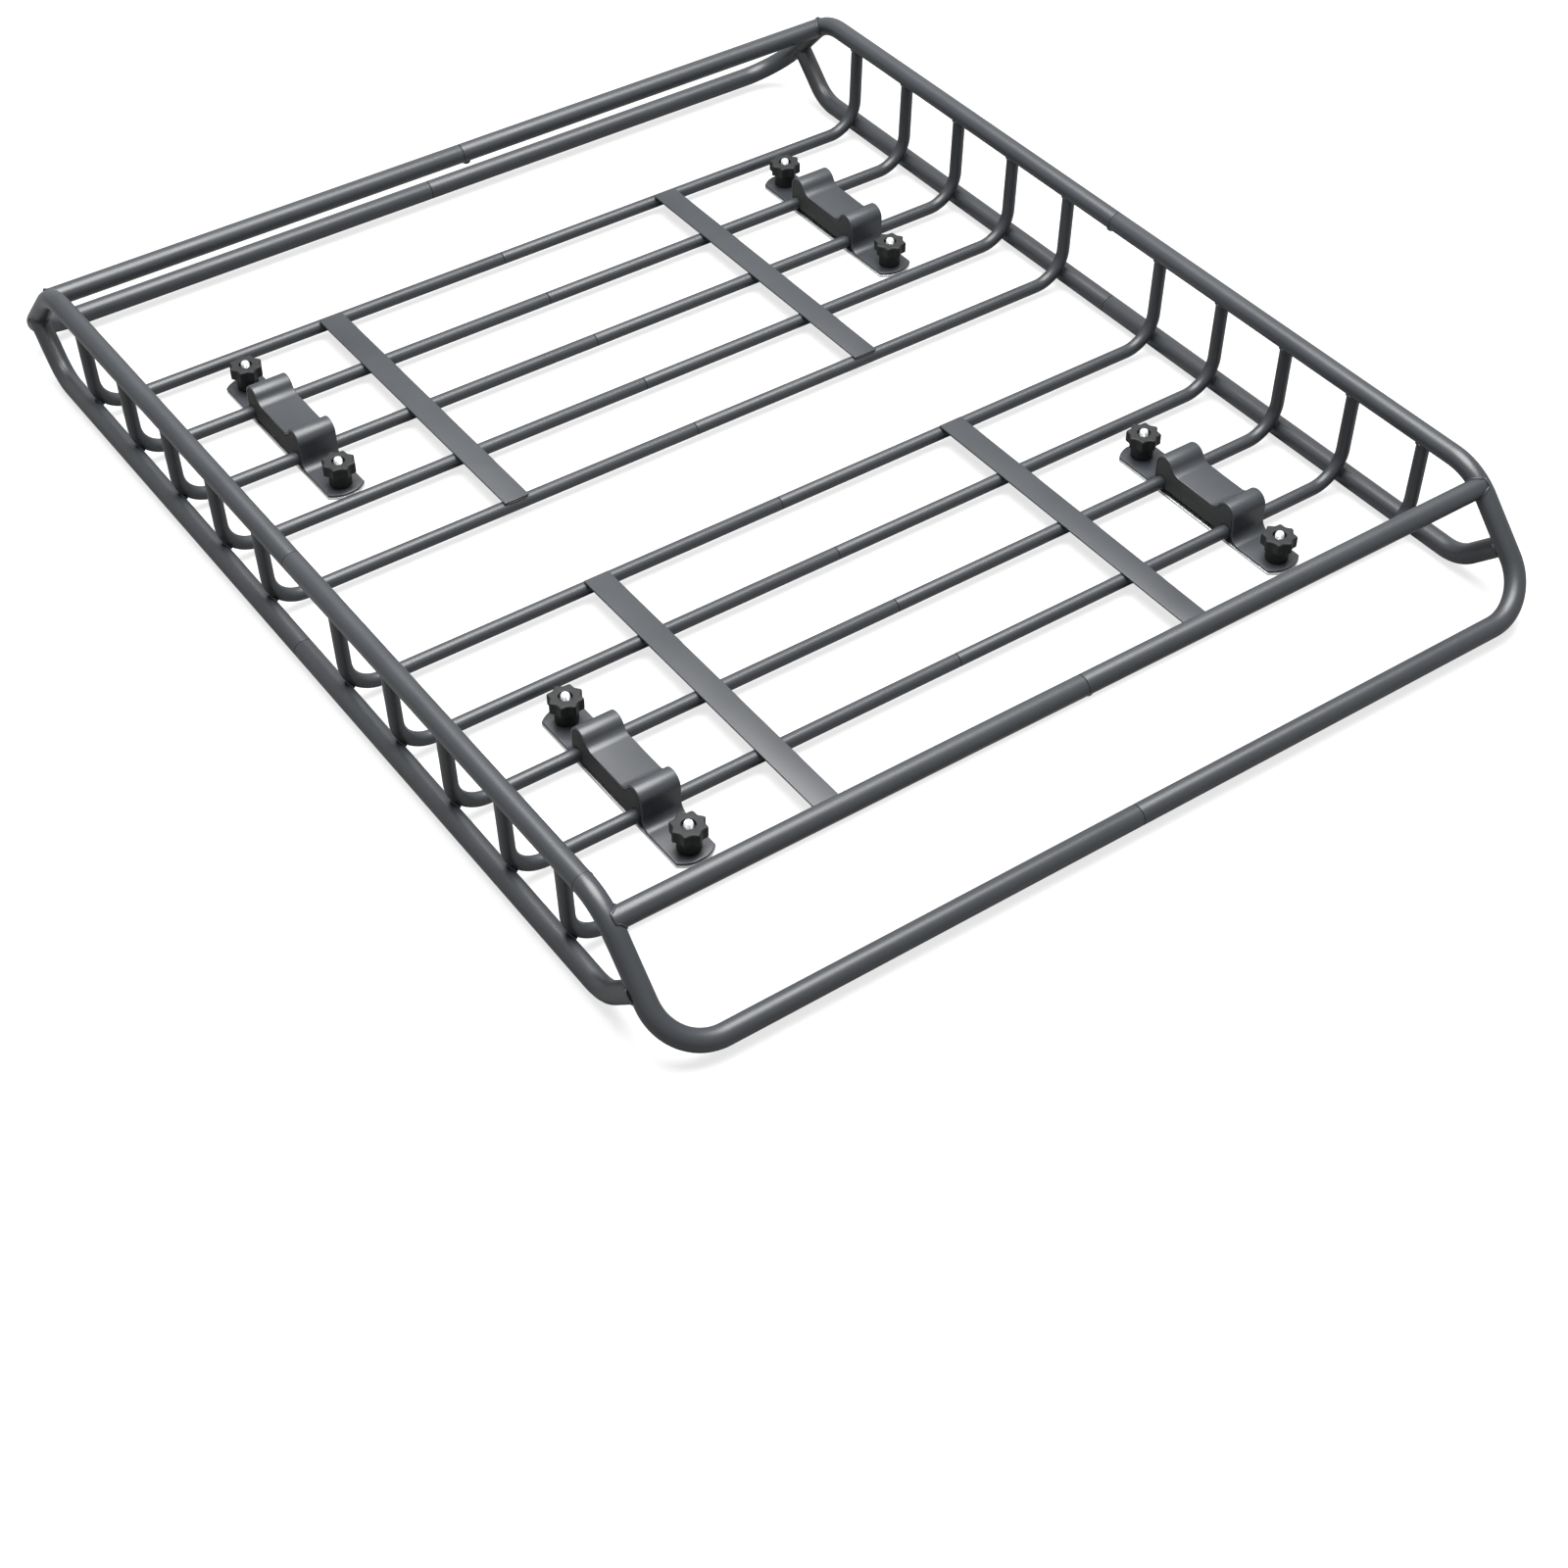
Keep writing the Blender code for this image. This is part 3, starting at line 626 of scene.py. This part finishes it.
edge_way = np.roll(pad_outline, -1, axis=0) - np.roll(pad_outline, 1, axis=0)
edge_way /= np.linalg.norm(edge_way, axis=1, keepdims=True)
inward = np.stack([-edge_way[:, 1], edge_way[:, 0]], axis=1)
area = (pad_outline[:, 0] * np.roll(pad_outline[:, 1], -1)
        - pad_outline[:, 1] * np.roll(pad_outline[:, 0], -1)).sum()
inward *= np.sign(area)


def pad_shape(x, y):
    """The pad's outline drawn from face to face, drawn in by a quarter circle at each."""
    t = np.linspace(0, np.pi / 2, 6)
    # t = 0 is where the rounding starts on the wall, t = 90 degrees where it reaches the face
    ledge, draw = PAD_EDGE * (1 - np.sin(t)), PAD_EDGE * (1 - np.cos(t))
    out = np.concatenate([-HALF_CLAMP + ledge[::-1], HALF_CLAMP - ledge])
    draws = np.concatenate([draw[::-1], draw])
    return grid(np.stack([across_x(pad_outline + inward * d, x + o, y)
                          for o, d in zip(out, draws)]))


# Studs, star knobs and joint screws


def threaded_stud(x, y, low, high):
    """Radius R less a depth that climbs and falls once per pitch as the angle goes round, so
    that the crests form a helix, and never more than a cone at the tip."""
    z = np.arange(low, high + THREAD_PITCH / 12, THREAD_PITCH / 6)
    z[-1] = high
    a = np.arange(28) * TAU / 28
    phase = (z[:, None] / THREAD_PITCH - a[None] / TAU) % 1
    cut = np.clip(1.6 * np.abs(2 * phase - 1) - 0.3, 0, 1)
    r = np.minimum(STUD_R - THREAD_DEPTH * cut, STUD_R - 0.0009 + (high - z)[:, None])
    return grid(np.stack([x + r * np.cos(a), y + r * np.sin(a),
                          np.broadcast_to(z[:, None], r.shape)], axis=-1))


def star_knob(x, y, low, high):
    """A profile of radius and height turned about the stud. Where it belongs to the head, the
    radius also dips eight times round by the size of sin 4a, which leaves blunt tips between
    hollow scallops."""
    head, pocket = high - KNOB_HEAD_HEIGHT, high - KNOB_COUNTERBORE_DEPTH
    base, neck, top, lip = KNOB_BASE_EDGE, KNOB_NECK_EDGE, KNOB_RIM_EDGE, KNOB_POCKET_EDGE
    profile = np.concatenate([
        [(KNOB_BORE_R, low)],
        arc(KNOB_HUB_R - base, low + base, base, -np.pi / 2, 0, 4),
        arc(KNOB_HUB_R + neck, head - neck, neck, np.pi, np.pi / 2, 6),
        arc(KNOB_HEAD_R - neck, head + neck, neck, -np.pi / 2, 0, 8),
        arc(KNOB_HEAD_R - top, high - top, top, 0, np.pi / 2, 10),
        arc(KNOB_COUNTERBORE_R + lip, high - lip, lip, np.pi / 2, np.pi, 5),
        [(KNOB_COUNTERBORE_R, pocket), (KNOB_BORE_R, pocket)]])
    a = np.arange(160) * TAU / 160
    weight = np.clip((profile[:, 0] - KNOB_HUB_R) / KNOB_LOBE_BLEND, 0, 1)
    weight = (weight ** 2 * (3 - 2 * weight))[:, None]
    blunt = KNOB_TIP_BLUNTNESS
    hollow = np.sqrt(np.sin(KNOB_LOBES * a / 2) ** 2 + blunt ** 2) - blunt
    wave = 1 - 2 * hollow / (np.sqrt(1 + blunt ** 2) - blunt)
    r = profile[:, :1] + weight * KNOB_LOBE_DEPTH * wave[None]
    return grid(np.stack([x + r * np.cos(a), y + r * np.sin(a),
                          np.broadcast_to(profile[:, 1:], r.shape)], axis=-1), looped=True)


def button_screw(x, y, z):
    """Domed head hanging below a tube, with a hexagon socket: inside the socket the radius is
    the half width over the cosine of the angle from the middle of the nearest flat."""
    top, base = z - RAIL_R + 0.0002, z - RAIL_R - JOINT_GAP - SCREW_HEAD_HEIGHT
    a = np.arange(48) * TAU / 48
    flat_angle = (a + np.pi / 6) % (np.pi / 3) - np.pi / 6
    hexagon = SCREW_SOCKET / np.cos(flat_angle)
    dome = np.linspace(0, 1, 9)[:, None]
    around = np.ones((1, 48))
    crown = SCREW_HEAD_R * np.cos(dome * SCREW_DOME) * around
    radii = np.concatenate([SCREW_HEAD_R * 0.99 * around, crown, 1.15 * hexagon[None],
                            hexagon[None], hexagon[None]])
    fall = (top - SCREW_SEAT - base) * np.sin(dome[:, 0] * SCREW_DOME) / np.sin(SCREW_DOME)
    heights = np.concatenate([[top], top - SCREW_SEAT - fall,
                              [base, base + SCREW_CHAMFER, base + SCREW_SOCKET_DEPTH]])
    return grid(np.stack([x + radii * np.cos(a), y + radii * np.sin(a),
                          np.broadcast_to(heights[:, None], radii.shape)], axis=-1))


for end in ENDS:
    for side in SIDES:
        place = end + side
        low, high = (np.array(corner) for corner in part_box("clamp_plate_" + place))
        x, y = (low[:2] + high[:2]) / 2
        width = np.where(np.abs(section[:, 0]) > flange_y - 1e-6, end_width(section[:, 0]),
                         HALF_CLAMP)
        piece("coated_clamp_plate_" + place,
              flat_bar(across_x(section, x, y), section_up, width,
                       end_thickness(section[:, 0], SHEET / 2), SHEET_EDGE),
              COAT, "basket", ["clamp_plate_" + place])
        piece("rubber_pad_" + place, pad_shape(x, y), RUBBER, "basket",
              ["clamp_pad_" + place])

        low, high = (np.array(corner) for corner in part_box("stud_plate_" + place))
        flat_y = np.concatenate([-tip[::-1], np.linspace(-flange_y, flange_y, 9)[1:-1], tip])
        line = np.stack([np.full(len(flat_y), x), y + flat_y,
                         np.full(len(flat_y), low[2] + SHEET / 2)], axis=1)
        shapes = [flat_bar(line, np.tile((0.0, 0.0, 1.0), (len(flat_y), 1)), end_width(flat_y),
                           end_thickness(flat_y, SHEET / 2), SHEET_EDGE)]
        for letter, sign in (("a", 1), ("b", -1)):
            stud_y = y + sign * STUD_SPACING / 2
            shapes.append(threaded_stud(x, stud_y, low[2] + SHEET / 2, high[2]))
            name = "knob_%s_%s" % (place, letter)
            knob_low, knob_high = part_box(name)
            piece("star_" + name, star_knob(x, stud_y, knob_low[2], knob_high[2]), NYLON,
                  name, [name], sharp=50)
        piece("zinc_stud_plate_" + place, together(shapes), ZINC,
              "stud_plate_" + place, ["stud_plate_" + place])

for name, x, y, z in (("left", -HALF_WIDTH, SCREW_OFFSET, RAIL_Z),
                      ("right", HALF_WIDTH, SCREW_OFFSET, RAIL_Z),
                      ("front", SCREW_OFFSET, -TOP_END_Y, TOP_END_Z),
                      ("rear", SCREW_OFFSET, TOP_END_Y, TOP_END_Z)):
    piece("button_screw_" + name, button_screw(x, y, z), COAT, "basket",
          ["joint_screw_" + name])

# Floor, light and camera

SENSOR_WIDTH, LENS = 36, 62.93                    # mm
CAMERA_X, CAMERA_Y, CAMERA_RISE = -1.1340, -1.6842, 1.5533     # the rise is from the bars
CAMERA_WAY = (0.4143, 0.5873, -0.6953)
FLOOR_HALF = 9
FLOOR_DROP = 0.0002            # keeps the floor off the plates that stand on it

floor_mesh = bpy.data.meshes.new("studio_floor")
floor_z = cad_box[0][2] - FLOOR_DROP
floor_mesh.from_pydata([(-FLOOR_HALF, -FLOOR_HALF, floor_z), (FLOOR_HALF, -FLOOR_HALF, floor_z),
                        (FLOOR_HALF, FLOOR_HALF, floor_z), (-FLOOR_HALF, FLOOR_HALF, floor_z)],
                       [], [(0, 1, 2, 3)])
floor_mesh.materials.append(pale_studio_paper())
floor = bpy.data.objects.new("studio_floor", floor_mesh)
bpy.context.scene.collection.objects.link(floor)

world = bpy.data.worlds.new("studio")
world.use_nodes = True
world.node_tree.nodes.clear()
seen = add(world, "ShaderNodeLightPath")
mirrored = add(world, "ShaderNodeMath", {0: seen.outputs["Is Camera Ray"],
                                         1: seen.outputs["Is Glossy Ray"]}, operation="ADD")
bare = add(world, "ShaderNodeMath", {0: mirrored.outputs[0],
                                     1: seen.outputs["Is Transmission Ray"]},
           operation="ADD", use_clamp=True)
level = add(world, "ShaderNodeMapRange", {"Value": bare.outputs[0], "To Min": 0.28,
                                          "To Max": 1.0})
sky = add(world, "ShaderNodeBackground", {"Color": linear("#ffffff"),
                                          "Strength": level.outputs["Result"]})
add(world, "ShaderNodeOutputWorld", {"Surface": sky.outputs["Background"]})
bpy.context.scene.world = world


def softbox(name, place, width, power):
    """A square lamp that faces the basket."""
    lamp = bpy.data.lights.new(name, "AREA")
    lamp.shape, lamp.size, lamp.energy = "SQUARE", width, power
    made = bpy.data.objects.new(name, lamp)
    made.location = place
    made.rotation_euler = (-Vector(place)).to_track_quat("-Z", "Y").to_euler()
    bpy.context.scene.collection.objects.link(made)


softbox("overhead_softbox", (0.1, 0.1, 3.0), 2.5, 320)
softbox("rear_softbox", (1.6, 2.3, 2.7), 2.6, 10)

camera_data = bpy.data.cameras.new("camera")
camera_data.sensor_width = SENSOR_WIDTH
camera_data.lens = LENS
camera = bpy.data.objects.new("camera", camera_data)
camera.location = (CAMERA_X, CAMERA_Y, BAR_Z + CAMERA_RISE)
camera.rotation_euler = Vector(CAMERA_WAY).to_track_quat("-Z", "Y").to_euler()
bpy.context.scene.collection.objects.link(camera)
bpy.context.scene.camera = camera
bpy.context.scene.view_settings.view_transform = "Standard"
